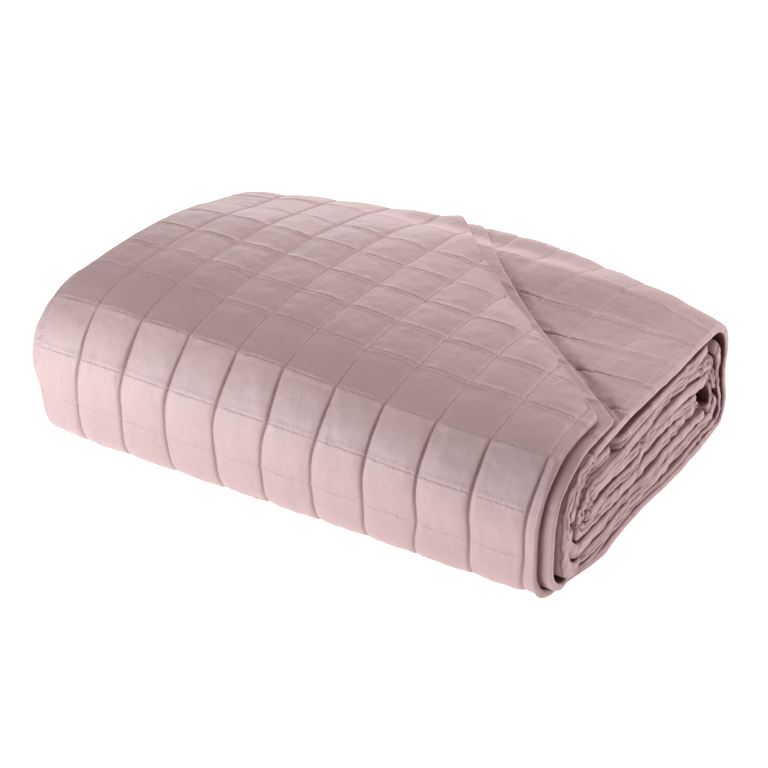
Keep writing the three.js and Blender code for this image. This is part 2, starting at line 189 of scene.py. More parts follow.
# Painted shade in the seam valleys
SEAM_SHADE = {"cross": (0.12, 0.36), "half": 0.5, "slope": (1.3, 1.9), "row": 0.08, "row_sides": (0.4, 1.4)}

# Groove and painted shade beside the slanted edge, at the back and at the front
SLANT_GROOVE = {"deep": (3.0, 8.5), "wide": (8.0, 14.0), "shade": (3.0, 11.0)}

# Seam valleys, as shares of a quarter round and its radius
TIGHT_SEAM = ((0.68, 24.0), (0.32, 6.0))
LONG_SEAM = ((0.45, 32.0), (0.55, 3.2))

# Random waves of the cloth: height, size across, size along and seed
WAVES = {
    "end_back": ((3.0, 34, 80, 41), (1.2, 13, 60, 42)),
    "end_up": ((2.6, 95, 32, 43), (1.3, 66, 12, 44)),
    "upper_hem": ((1.0, 74, 1, 11), (0.5, 15, 1, 13)),
    "lower_hem": ((1.0, 74, 1, 12), (0.5, 15, 1, 14)),
    "wrinkles": ((1.0, 13, 37, 4), (0.6, 6, 15, 5)),
    "front_wrinkles": ((1.0, 5.5, 60, 6),),
    "cross_wrinkles": ((0.5, 24, 9, 10),),
    "row_puckers": ((1.5, 4.6, 26, 7),),
    "cross_puckers": ((1.2, 26, 5.2, 9),),
    "uneven": ((1.1, 120, 105, 8), (0.5, 42, 50, 13)),
    "sway": ((0.9, 130, 70, 31),),
    "drift": ((0.9, 60, 160, 32),),
}

# Relief that the bump adds, in metres. Patches: per metre across and down, detail, roughness
BUMP = {"soft": 0.0011, "puckers": 0.0014, "streaks": 0.00028, "crumple": 0.0007, "grain": 0.00010,
        "thread": 0.00025}
PATCHES = {"broad": (9, 7, 2.0), "streaks": (150, 22, 3.0, 0.6), "grain": (900, 420, 2.0, 0.6),
           "soft": (70, 48, 3.0, 0.5), "puckers": (260, 90, 2.0)}
CRUMPLE = (60, 2.0)
TONE = {"broad": 0.16, "streaks": 0.12, "grain": 0.14}
LEAST_TONE = 0.79
THREAD = {"core": 0.0003, "edge": 0.0007, "cover": 0.45}
SATEEN_GLOSS = {"IOR": 1.8, "Specular IOR Level": 0.5, "Sheen Roughness": 0.4,
                "Sheen Tint": (1.0, 0.85, 0.85, 1.0)}
WHITE = (1.0, 1.0, 1.0, 1)
PAPER = {"Base Color": (0.92, 0.92, 0.92, 1), "Roughness": 0.9, "Specular IOR Level": 0.1,
         "Emission Color": WHITE}


def clamp01(t):
    return np.clip(t, 0.0, 1.0)


def smooth(t):
    t = clamp01(t)
    return t * t * (3 - 2 * t)


def mix(a, b, t):
    return a + (b - a) * t


def ramp(value, start, over):
    """Zero up to a start, then smoothly up to one over a distance."""
    return smooth((value - start) / over)


def read_table(rows, key, column, at):
    """Smooth reading of a table between its rows."""
    keys = np.array([row[key] for row in rows], float)
    values = np.array([row[column] for row in rows], float)
    place = np.clip(at, keys[0], keys[-1])
    after = np.clip(np.searchsorted(keys, place), 1, len(keys) - 1)
    t = (place - keys[after - 1]) / (keys[after] - keys[after - 1])
    start, end = values[after - 1], values[after]
    leave = (end - values[np.maximum(after - 2, 0)]) / 2
    arrive = (values[np.minimum(after + 1, len(keys) - 1)] - start) / 2
    return start + t * (leave + t * (3 * (end - start) - 2 * leave - arrive
                                     + t * (2 * (start - end) + leave + arrive)))


def corner_length(name):
    across, up = CORNERS[name]
    h = ((across - up) / (across + up)) ** 2
    return math.pi / 4 * (across + up) * (1 + 3 * h / (10 + math.sqrt(4 - 3 * h)))


# One turn of the winding, from the loose end on
TURN = {
    "backTop": corner_length("backTop"),
    "top": BACK - FRONT - CORNERS["backTop"][0] - CORNERS["frontTop"][0],
    "frontTop": corner_length("frontTop"),
    "front": HEIGHT - CORNERS["frontTop"][1] - CORNERS["frontBottom"][1],
    "frontBottom": corner_length("frontBottom"),
    "bottom": BACK - FRONT - CORNERS["frontBottom"][0] - CORNERS["backBottom"][0],
    "backBottom": corner_length("backBottom"),
    "back": HEIGHT - CORNERS["backBottom"][1] - CORNERS["backTop"][1],
}
STRETCHES = list(TURN)
LENGTHS = np.array(list(TURN.values()))
STARTS = np.concatenate([[0.0], np.cumsum(LENGTHS)[:-1]])
TURN_LENGTH = float(LENGTHS.sum())
SEAM_STEP = TURN_LENGTH / round(TURN_LENGTH / SQUARE)


def start_of(name, turn=0):
    return turn * TURN_LENGTH + float(STARTS[STRETCHES.index(name)])


BOTTOM = start_of("bottom")
UNDER_BACK = start_of("backTop", 1)
UNDER_FRONT = start_of("frontTop", 1)
FRONT_SEAM = start_of("frontTop") + FRONT_SEAM_PAST_TOP
LOOSE_END = start_of("top") * LOOSE_SHARE
WOUND_END = mix(start_of("bottom", 2), start_of("backBottom", 2), WOUND_SHARE)
WRAP_START = BOTTOM + 20
INNER_START = UNDER_FRONT + 20


def hidden_share(along, cloth="lower"):
    """Zero where a cloth's hem shows from outside, and one where it is wound in."""
    return ramp(along, UNDER_FRONT, 20) if cloth == "upper" else ramp(along, BOTTOM, 60)


def section_point(along, depth):
    """Y and Z of the plain section at a distance along the winding and a depth."""
    shrink = np.maximum(1 - depth / CORE, 0)
    across, up = {}, {}
    for name, (a, u) in CORNERS.items():
        across[name] = a * shrink + SHARPEST_FOLD
        up[name] = u * shrink + SHARPEST_FOLD * (1 - shrink)
    front = FRONT + depth + np.where(along > TURN_LENGTH, FRONT_GAP, 0)
    back = BACK - depth
    bottom = np.minimum(depth, CORE)
    top = HEIGHT - bottom
    rest = along % TURN_LENGTH
    index = np.clip(np.searchsorted(STARTS, rest, side="right") - 1, 0, len(STARTS) - 1)
    t = clamp01((rest - STARTS[index]) / LENGTHS[index])
    sin, cos = np.sin(t * math.pi / 2), np.cos(t * math.pi / 2)
    bt, ft, fb, bb = "backTop", "frontTop", "frontBottom", "backBottom"
    y = np.choose(index, [
        back - across[bt] * (1 - cos),
        mix(back - across[bt], front + across[ft], t),
        front + across[ft] * (1 - sin),
        front,
        front + across[fb] * (1 - cos),
        mix(front + across[fb], back - across[bb], t),
        back - across[bb] * (1 - sin),
        back,
    ])
    z = np.choose(index, [
        top - up[bt] * (1 - sin),
        top,
        top - up[ft] * (1 - cos),
        mix(top - up[ft], bottom + up[fb], t),
        bottom + up[fb] * (1 - sin),
        bottom,
        bottom + up[bb] * (1 - cos),
        mix(bottom + up[bb], top - up[bt], t),
    ])
    return y, z


def towards_left(x):
    return clamp01((LEFT_SLOPE["from"] - x) / (LEFT_SLOPE["from"] - LEFT_SLOPE["to"]))


def top_height(x, y):
    """Height of the top at a place, on the one smooth curve through the columns of the table."""
    places = np.array(list(TOP_COLUMNS.values()))
    at = np.clip(x, places[0], places[-1])
    height = 0.0
    for column, place in TOP_COLUMNS.items():
        others = places[places != place]
        weight = np.prod([(at - other) / (place - other) for other in others], axis=0)
        height = height + weight * read_table(TOP_HEIGHTS, "y", column, y)
    return height * (1 - LEFT_SLOPE["drop"] * towards_left(x) ** 2)


def winding(x, along, depth):
    """Points of the bundle, in millimetres, at places along X and the winding and at a depth."""
    y, z = section_point(along, depth)
    bulge = BACK_BULGE["most"] - BACK_BULGE["curve"] * (x - BACK_BULGE["at"]) ** 2 - BACK
    start = BACK_BULGE["from"] + BACK_BULGE["spread"] * np.clip(bulge / BACK_BULGE["full"], -1, 1)
    y = y + bulge * ramp(y, start, BACK - start)
    y = y * (1 - LEFT_SLOPE["draw_in"] * towards_left(x) ** 2)
    reach = ramp(x, END_WAVE_REACH["from"], END_WAVE_REACH["to"] - END_WAVE_REACH["from"])
    wave = sum(w["height"] * np.sin(2 * math.pi * y / w["length"] + w["shift"]) for w in END_WAVES)
    z = z + reach * wave * np.sin(math.pi * np.minimum(z, HEIGHT) / HEIGHT)
    dip = BACK_DIP["deep"] * np.exp(-((x - BACK_DIP["x"]) / BACK_DIP["wide"]) ** 2)
    z = z * (top_height(x, y) - dip * ramp(y, BACK_DIP["from"], BACK_DIP["over"])) / HEIGHT
    crumpled = ramp(x, *CRUMPLED)
    inward = mix(OUTER_CRUMPLE, 1.0, smooth(depth / CRUMPLE_DEPTH))
    push_y, push_z = waves("end_back", y, z), waves("end_up", y, z)
    y = y + crumpled * inward * push_y
    z = z + crumpled * inward * push_z * ramp(z, 4, CRUMPLE_DEPTH)
    return np.stack([x, y, z], axis=-1)


def strip_depth(x, along, share):
    """Depth of the strip at a share of its thickness. A turn moves one strip inward at the back."""
    turn = np.clip(np.floor(along / TURN_LENGTH).astype(int), 0, 2)
    rest = along - turn * TURN_LENGTH
    full = mix(LOOSE_STRIP["left"], LOOSE_STRIP["right"],
               ramp(x, LOOSE_STRIP["from"], LOOSE_STRIP["to"] - LOOSE_STRIP["from"]))
    leaving = ramp(rest - start_of("top"), DRAWN_TIGHT["from"], DRAWN_TIGHT["over"])
    returning = ramp(rest, start_of("back"), TURN_LENGTH - start_of("back"))
    loose = full * mix(DRAWN_TIGHT["share"], 1, leaving * (1 - returning))
    wound = (CORE - loose) / 2
    core = np.full_like(loose, CORE)
    edges = [np.zeros_like(loose), loose, loose + wound, core, core]
    climb = ramp(rest, start_of("backBottom"), TURN_LENGTH - start_of("backBottom"))
    here = mix(np.choose(turn, edges[:3]), np.choose(turn, edges[1:4]), share)
    after = mix(np.choose(turn, edges[1:4]), np.choose(turn, edges[2:5]), share)
    return mix(here, after, climb)


def slant_edge(along, cloth):
    unrolled = BACK - CORNERS["backTop"][0] - (along - start_of("top"))
    return SLANT["x"] + SLANT_STEP[cloth] + (SLANT["y"] - unrolled) * SLANT["run"]


def noise(x, y, size_x, size_y, seed):
    """Smooth random heights from about -1 to 1 over a cloth, with bumps of the sizes given."""
    table = np.random.default_rng(seed).uniform(-1, 1, (64, 64))
    gx, gy = np.asarray(x) / size_x + 1000.0, np.asarray(y) / size_y + 1000.0
    ix, iy = np.floor(gx).astype(int), np.floor(gy).astype(int)
    fx, fy = gx - ix, gy - iy
    fx, fy = fx ** 3 * (6 * fx ** 2 - 15 * fx + 10), fy ** 3 * (6 * fy ** 2 - 15 * fy + 10)

    def corner(dx, dy):
        return table[(ix + dx) % 64, (iy + dy) % 64]

    return mix(mix(corner(0, 0), corner(1, 0), fx), mix(corner(0, 1), corner(1, 1), fx), fy)


def waves(kind, x, y):
    """Sum of one kind of random waves."""
    return sum(high * noise(x, y, across, along, seed) for high, across, along, seed in WAVES[kind])


def hem_edge(along, cloth):
    """Where a cloth ends on the right: its hem, a little uneven, or its slanted fold."""
    hem = read_table(EDGES, "at", cloth, along / SEAM_STEP)
    outermost = 1 - hidden_share(along, cloth) if cloth == "upper" else 0 * along
    loosened = hidden_share(along) * (1 - 0.7 * outermost)
    hem = hem + waves(cloth + "_hem", along, 0 * along) * mix(0.5, 2.5, loosened)
    for pit in PITS:
        if pit["cloth"] == cloth:
            hem = hem - pit["deep"] * np.exp(-((along - pit["at"] * SEAM_STEP) / pit["wide"]) ** 2)
    return np.where(along < TURN_LENGTH / 2, np.minimum(hem, slant_edge(along, cloth)), hem)


def last_seam(along, cloth):
    """Place of the cross seam nearest the hem."""
    under = ramp(along, BOTTOM, TURN["bottom"])
    seam = mix(LAST_SEAM["loose"], LAST_SEAM["under"], under)
    return seam + (HEM_BORDER if cloth == "lower" else 0) * (1 - under)


def seam_lean(along):
    """Cross seams of the under layer lean to the right towards the back."""
    run = TURN["top"]
    from_front = UNDER_FRONT - along
    lean = UNDER_SKEW * np.clip(from_front - run / 2, 0, run / 2)
    return lean * ramp(along, BOTTOM, UNDER_BACK - BOTTOM)


def cloth_depths(x, along, cloth):
    """Depths of a cloth's two faces. The strip lies thinner at its slanted edge, and so do the
    hems that show from outside."""
    top, bottom = strip_depth(x, along, 0.0), strip_depth(x, along, 1.0)
    near_slant = ramp(x - slant_edge(along, "lower"), *NEAR_SLANT)
    near_slant = near_slant * (along < TURN_LENGTH / 2)
    thin = np.minimum(bottom - top, mix(bottom - top, SLANT_THICKNESS, near_slant))
    top = bottom - thin
    middle = (top + bottom) / 2
    if cloth == "whole":
        thin = (1 - end_thinning(along)) * (bottom - top - CLOTH_GAP) / 2
        return top + thin, bottom - CLOTH_GAP - thin
    outer = top if cloth == "upper" else middle + CLOTH_GAP / 2
    inner = middle - CLOTH_GAP / 2 if cloth == "upper" else bottom - CLOTH_GAP
    shows = 1 - hidden_share(along, cloth)
    edge = read_table(EDGES, "at", cloth, along / SEAM_STEP)
    thinning = ramp(x - edge, *THIN_HEM) * shows
    hem_thickness = mix(HEM_THICKNESS, UNDER_HEM_THICKNESS, hidden_share(along))
    thickness = np.minimum(inner - outer, mix(inner - outer, hem_thickness, thinning))
    thickness = thickness * end_thinning(along)
    closer = HEM_CLOSER * ramp(x - edge, *CLOSE_HEM) * (1 - shows)
    centre = mix((outer + inner) / 2, outer + thickness / 2, shows if cloth == "upper" else 0.0)
    return centre - thickness / 2 - closer / 2, centre + thickness / 2 + closer / 2


def end_thinning(along):
    """Share of the cloth's thickness left as it rounds off at the loose end."""
    return mix(0.25, 1.0, rise(along - LOOSE_END, END_ROUNDING))


def face_point(x, along, cloth, share):
    outer, inner = cloth_depths(x, along, cloth)
    return winding(x, along, mix(outer, inner, share))


def laid_out_length(low, high):
    """Length in metres of the strip laid out flat, between two places along the winding."""
    along = np.linspace(low, high, 2000)
    middle = face_point(np.zeros_like(along), along, "whole", np.full_like(along, 0.5))
    return float(np.linalg.norm(np.diff(middle, axis=0), axis=1).sum()) * METRE


def seam_distance(place, step):
    return np.abs(place / step - np.round(place / step)) * step


def rise(distance, radius):
    """How far a puffed square has risen at a distance from its seam, as a quarter round."""
    return np.sqrt(np.maximum(1 - (1 - clamp01(distance / radius)) ** 2, 0))


def valley(distance, parts):
    """Height beside a seam, as a sum of quarter rounds."""
    return sum(share * rise(distance, radius) for share, radius in parts)


def front_share(down):
    """One on the front face, zero on the top and the underside."""
    return ramp(down, *FRONT_FACE["starts"]) * (1 - ramp(down, *FRONT_FACE["ends"]))


def seam_kinks(across, along):
    """Sideways shift of the cloth, which turns a little at each long seam."""
    row = (along - FRONT_SEAM) / SEAM_STEP
    column = across / SQUARE
    front = ramp(row, -0.4, 0.8)
    table = np.random.default_rng(51).uniform(-1, 1, (64, 64))
    first_row, first_column = np.floor(row).astype(int), np.floor(column).astype(int)
    t, u = row - first_row, smooth(column - first_column)

    def shift(down, over):
        return table[(first_row + down) % 64, (first_column + over) % 64]

    here = mix(shift(0, 0), shift(0, 1), u)
    there = mix(shift(1, 0), shift(1, 1), u)
    return mix(here, there, t) * mix(*SEAM_KINK, front)


def crease_depth(across, down):
    """Depth of the single creases and dents at a place of the outer face."""
    depth = 0.0
    for crease in CREASES:
        run = down - crease["down"]
        aside = across - crease["across"] - crease["lean"] * run
        depth = depth + crease["deep"] * np.exp(-(aside / crease["wide"]) ** 2
                                                - (run / crease["long"]) ** 4)
    return depth


def deep_seam(across, down):
    """How deep the cross seams lie at the front: most at the right, least in the lowest squares."""
    return mix(1.0, 0.4, smooth(across / 420)) * (1 - 0.65 * ramp(down, 125, 50))


def front_edge(across, down):
    """The first long seam lies on a soft edge, where the flat top turns down to the front."""
    edge = np.exp(-(np.abs(down) / FRONT_EDGE["wide"]) ** FRONT_EDGE["power"])
    foot = FRONT_EDGE["foot"] * np.exp(-(down / FRONT_EDGE["foot_wide"]) ** 4)
    fade = 1 - ramp(across, *FRONT_EDGE["fade"])
    return FRONT_EDGE["high"] * (edge - foot) * (np.abs(down) < FRONT_EDGE["reach"]) * fade


def relief(across, along, x, cover, settings):
    """Height of the cloth's outer face above its seams, in millimetres."""
    down = along - FRONT_SEAM
    front = front_share(down)
    flat = ramp(along - start_of("frontBottom"), *RESTING_FACE["starts"]) * (
        1 - ramp(along, start_of("backBottom"), RESTING_FACE["fade"]))
    from_cross = seam_distance(across, SQUARE)
    from_long = seam_distance(down, SEAM_STEP)
    column, row = np.floor(across / SQUARE), np.floor(down / SEAM_STEP)
    square = noise(column + 0.5, row + 0.5, 1, 1, 3)
    height = mix(settings.top_puff, settings.front_puff, front) / METRE * (1 + PUFF["vary"] * square)
    height = mix(height * (1 - PUFF["under_loss"] * under_layer(along)), PUFF["resting"], flat)
    soft = 0.6 * (1 - (1 - from_cross / (SQUARE / 2)) ** 2) + 0.4 * rise(from_cross, 7)
    cross = mix(soft, valley(from_cross, TIGHT_SEAM), front)
    long = valley(from_long, LONG_SEAM)
    puff = (1 - (1 - cross) * mix(*SEAM_DEPTHS["cross"], front)) * (
        1 - (1 - long) * mix(*SEAM_DEPTHS["long"], front))
    hem_puff = HEM_PUFF["share"] * rise(-across, HEM_PUFF["radius"])
    puff = mix(puff, hem_puff, smooth(-across / HEM_PUFF["over"]))
    on_top, on_front = SUNK["deep"]
    sunk = mix(on_top, mix(on_front, 1.0, ramp(down, *SUNK["full"])), front)
    height = height * (puff - np.maximum(sunk, flat))
    slot = mix(*STITCHED_SLOT["deep"], front * deep_seam(across, down))
    slot = slot * (1 - ramp(from_cross, *STITCHED_SLOT["sides"])) * (across > HEM_SIDE)
    wrinkle = settings.wrinkle / METRE
    wrinkles = waves("wrinkles", across, along)
    wrinkles = wrinkles + front * waves("front_wrinkles", across, along)
    wrinkles = wrinkles + waves("cross_wrinkles", across, along)
    puckers = waves("row_puckers", across, down) * np.exp(-from_long / PUCKER_REACH["row"])
    puckers = puckers + waves("cross_puckers", across, down) * np.exp(-from_cross / PUCKER_REACH["cross"])
    uneven = waves("uneven", across, along)
    fine = wrinkle * (wrinkles * (0.25 + puff) + puckers) * (1 - flat)
    beside = np.maximum(past_slant(x, along), 0)
    pulled = PULLED["deep"] * np.exp(-beside / PULLED["reach"]) * (1 - rise(from_long, PULLED["seam"]))
    pulled = pulled * (PULLED["base"] + PULLED["vary"] * noise(row, 0 * row, 1, 1, 14))
    low = ramp(x, *BESIDE_SLANT)
    groove = mix(*SLANT_GROOVE["deep"], low) * np.exp(-(beside / mix(*SLANT_GROOVE["wide"], low)) ** 2)
    pulled = under_layer(along) * (pulled + groove)
    height = height + fine + uneven * (1 - flat) - slot * (1 - flat) - pulled
    height = height - crease_depth(across, down) + front_edge(across, down)
    return height * cover


def outer_painted_shade(across, along, x):
    """Painted shade of the outer face, from 0 to 1, by how deep in a seam or beside a fold a place lies."""
    down = along - FRONT_SEAM
    front = front_share(down)
    slope = mix(*SEAM_SHADE["slope"], front)
    seam = 1 - ramp(seam_distance(across, SQUARE), SEAM_SHADE["half"], slope)
    row = 1 - ramp(seam_distance(down, SEAM_STEP), *SEAM_SHADE["row_sides"])
    on_top, on_front = SEAM_SHADE["cross"]
    seam = seam * mix(on_top, on_front * deep_seam(across, down), front)
    seams = np.maximum(seam, row * SEAM_SHADE["row"])
    seams = seams * (across > HEM_SIDE)
    beside = np.maximum(past_slant(x, along), 0)
    wide = mix(*SLANT_GROOVE["shade"], ramp(x, *BESIDE_SLANT))
    return np.maximum(seams, under_layer(along) * np.exp(-(beside / wide) ** 2))


def under_layer(along):
    """One over the layer that shows beside the slanted edge, zero elsewhere."""
    return ramp(along, UNDER_BACK, 40) * (1 - ramp(along, UNDER_FRONT, 30))


def past_slant(x, along):
    """Distance to the right of the slanted edge that lies on the layer."""
    return x - slant_edge(np.maximum(along - TURN_LENGTH, 0), "lower")


def uncovered(x, along):
    """How much the strip's outside shows at a place."""
    shown = clamp01((along - LOOSE_END) / 12)
    unrolled_twice = along - TURN_LENGTH
    covered = smooth((unrolled_twice + SQUARE) / SQUARE)
    beyond = x - slant_edge(np.maximum(unrolled_twice, 0), "lower") - 2
    under = np.maximum(1 - covered, smooth(beyond / 12))
    gone = ramp(along, UNDER_FRONT, 30)
    return np.where(unrolled_twice < -SQUARE, shown, under * (1 - gone))


def square_steps(low, high, steps=FINE_COLUMNS, step=SQUARE):
    """Places on both sides of every seam from low to high."""
    offsets = sorted({0.0, *steps, *[-distance for distance in steps]})
    seams = np.arange(math.floor(low / step) - 1, math.ceil(high / step) + 2) * step
    places = (seams[:, None] + np.array(offsets)[None, :]).ravel()
    return np.unique(np.round(places[(places > low) & (places < high)], 3))


def column_places(along, seam, bend):
    """Places of the outer face's columns, from the last cross seam. Hidden cloth has fewer."""
    plain = square_steps(0.0, seam - bend - 1.0, PLAIN_STEPS)
    if start_of("frontBottom") + 50 < along < start_of("backBottom") - 10:
        return plain
    fine = square_steps(0.0, seam - bend - 1.0, FINE_COLUMNS)
    if along < TURN_LENGTH + start_of("top") - 20:
        return fine
    showing = seam - float(slant_edge(along - TURN_LENGTH, "lower")) + 40
    return np.concatenate([fine[fine <= showing], plain[plain > showing]])


def ring(along, fine):
    """Stations of the closed outline of the folded strip at one place along the winding."""
    s = np.array([along])
    fold = float(read_table(EDGES, "at", "fold", s / SEAM_STEP)[0])
    fold_x = np.array([fold])
    radius = float((strip_depth(fold_x, s, 1.0) - strip_depth(fold_x, s, 0.0))[0] - CLOTH_GAP) / 2
    bend = fold + radius
    stations = []

    def add(part, key, x, cloth, share, across, push=0.0, normal=1.0, tangent=0.0, painted_shade=0.0):
        stations.append((part * 1e4 + key, x, cloth, share, across, push, normal, tangent, painted_shade))

    def columns(cloth, dense, covered_to=1e9):
        edge = float(hem_edge(s, cloth)[0])
        seam = float((last_seam(s, cloth) + seam_lean(s))[0])
        slanted = along < TURN_LENGTH / 2 and edge < float(last_seam(s, cloth)[0]) + 12
        bulge = ROLL_BULGE if slanted and cloth == "lower" else HEM_BULGE
        edge -= bulge
        margin = SLANT_MARGIN if slanted else max(edge - seam - 0.5, 2.0)
        if dense:
            across = column_places(along, seam, bend)
        else:
            across = np.concatenate([[8.0, 20.0, 38.0, 60.0], np.arange(100.0, seam - bend - 8, 48.0)])
        across = np.unique(np.concatenate([[0.0], across]))
        x = seam - across
        keep = (x < min(edge - margin, covered_to - 6)) & (x > bend + 1.0)
        found = [(5000 - a, p, a) for a, p in zip(across[keep], x[keep])][::-1]
        for i, distance in enumerate(PAST_UPPER_EDGE):
            if covered_to + distance < edge - margin:
                found.append((5500 + i, covered_to + distance, seam - covered_to - distance))
        for i, distance in enumerate(EDGE_DISTANCES):
            if distance < margin:
                found.append((6000 + i, edge - distance, seam - edge + distance))
        return edge, seam, bulge, [(0.0, bend, seam - bend)] + found

    def hem(part, index, cloth, edge, seam, bulge):
        seed = 61 if cloth == "upper" else 62
        hidden = float(hidden_share(s, cloth)[0])
        opening = HEM_GROOVE["base"] + HEM_GROOVE["vary"] * float(noise(along, 0.0, 80, 1, seed))
        groove = hidden * HEM_GROOVE["deep"] * float(smooth(np.array([opening]))[0])
        middle = 0.5 + HEM_GROOVE["off_middle"] * hidden * float(noise(along, 0.0, 90, 1, seed + 3))
        pit = sum(pit["deep"] * math.exp(-((along - pit["at"] * SEAM_STEP) / pit["wide"]) ** 2)
                  for pit in PITS if pit["cloth"] == cloth)
        for i in range(HEM_STEPS + 1):
            angle = math.pi * i / HEM_STEPS
            share = (1 - math.cos(angle)) / 2
            dip = math.exp(-((share - middle) / HEM_GROOVE["wide"]) ** 2)
            uneven = float(noise(along, i * 3.0, 11, 7, seed + 6))
            crinkle = HEM_GROOVE["crinkle"] * hidden * uneven * math.sin(angle)
            push = bulge * math.sin(angle) ** 0.6 - groove * dip + crinkle
            # Painted shade in the hem's groove, in its pits and at the edges of hems that are wound in
            painted_shade = max(groove / 5 * dip, min(pit / 20, 1.0), hidden * (1 - math.sin(angle)) ** 1.3)
            add(part, i, edge, index, share, seam - edge, push, math.cos(angle), math.sin(angle), painted_shade)

    upper_edge, upper_seam, upper_bulge, upper = columns("upper", fine)
    covered_to = upper_edge + upper_bulge
    lower_edge, lower_seam, lower_bulge, lower = columns("lower", False, covered_to)
    for key, x, across in upper:
        add(0, key, x, 0, 0.0, across)
    hem(1, 0, "upper", upper_edge, upper_seam, upper_bulge)
    inside = columns("upper", False)[3]
    # The upper cloth's inner face is painted fully in shade; it shows only in the gaps
    for key, x, across in inside[::-1]:
        add(2, 9000 - key, x, 0, 1.0, across, 0.0, -1.0, painted_shade=1.0)
    # Painted shadow on the lower cloth just past the upper cloth's edge
    for key, x, across in lower:
        add(3, key, x, 1, 0.0, across, painted_shade=math.exp(-(max(x - covered_to - 1.2, 0.0) / 3.6) ** 2))
    hem(4, 1, "lower", lower_edge, lower_seam, lower_bulge)
    # The lower cloth's inner face is painted fully in shade; it shows only in the gaps
    for key, x, across in columns("lower", False)[3][::-1]:
        add(5, 9000 - key, x, 1, 1.0, across, 0.0, -1.0, painted_shade=1.0)
    for i in range(1, FOLD_STEPS):
        angle = math.pi * (1 - i / FOLD_STEPS)
        across = upper_seam - bend + radius * angle
        add(6, i, bend - radius * math.sin(angle), 2, (1 - math.cos(angle)) / 2, across,
            0.0, math.cos(angle), -math.sin(angle))
    return stations


def end_cap(parts, x, first, flip):
    """Faces that close the end of a strip: both cloths and the fold between them."""
    places = {part: np.nonzero(parts == part)[0] for part in range(7)}
    faces = []
    for outside, hem, inside in ((0, 1, 2), (3, 4, 5)):
        middle = len(places[hem]) // 2
        above = [*places[outside], *places[hem][:middle]]
        below = [*places[hem][middle:], *places[inside]][::-1]
        i = j = 0
        while i < len(above) - 1 or j < len(below) - 1:
            a, b = above[i], below[j]
            go_above = j == len(below) - 1 or (i < len(above) - 1 and x[above[i + 1]] <= x[below[j + 1]])
            if go_above:
                faces.append((a, above[i + 1], b))
                i += 1
            else:
                faces.append((a, below[j + 1], b))
                j += 1
    faces.append(tuple([places[0][0], places[2][-1], places[3][0], places[5][-1], *places[6]]))
    faces = [tuple(int(first + corner) for corner in face) for face in faces]
    return [face[::-1] for face in faces] if flip else faces


